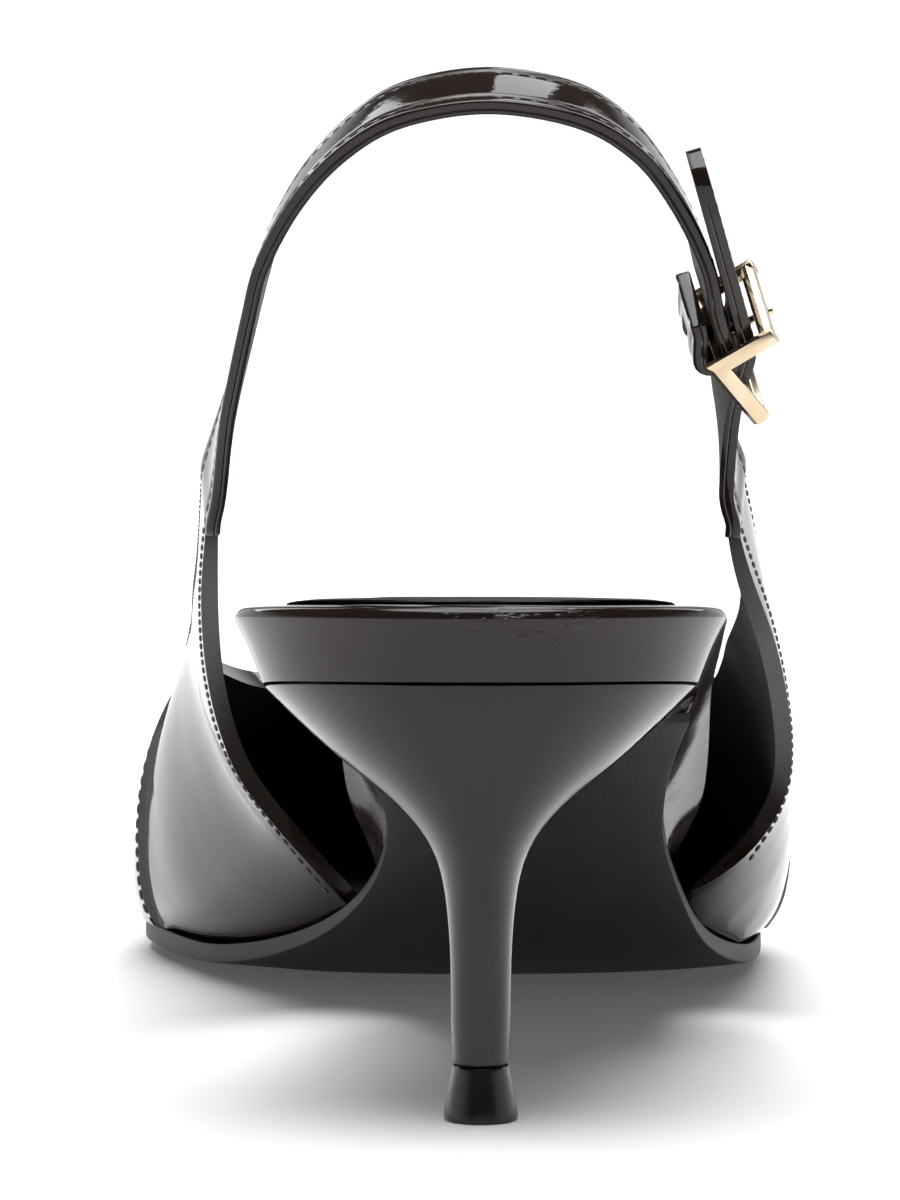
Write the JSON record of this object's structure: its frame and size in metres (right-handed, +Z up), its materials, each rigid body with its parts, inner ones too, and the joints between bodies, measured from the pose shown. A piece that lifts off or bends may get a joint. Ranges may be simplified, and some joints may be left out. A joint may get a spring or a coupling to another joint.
{
  "type": "slingback pump",
  "caption": "Pointed slingback pump with a kitten heel, open waist, and a sling strap with a small buckle, for the right foot.",
  "frame": {"origin": "middle of the heel tip's floor face, on the floor", "axes": "+Y level towards the toe, +X to the outer side of the foot, +Z up"},
  "size_m": [0.0846, 0.2472, 0.1231],
  "materials": {
    "patent_leather": "gloss",
    "wrapped_band": "gloss",
    "lining": "matt",
    "sole": "matt",
    "heel_tip": "satin",
    "pale_gold": "polished"
  },
  "bodies": {
    "root": {"outsole": "sole", "heel": "patent_leather", "top_lift": "heel_tip", "insole": "wrapped_band", "sock_lining": "lining", "upper": "patent_leather", "sling_strap": "patent_leather", "buckle_strap": "patent_leather", "buckle_frame": "pale_gold", "buckle_prong": "pale_gold"}
  },
  "joints": []
}
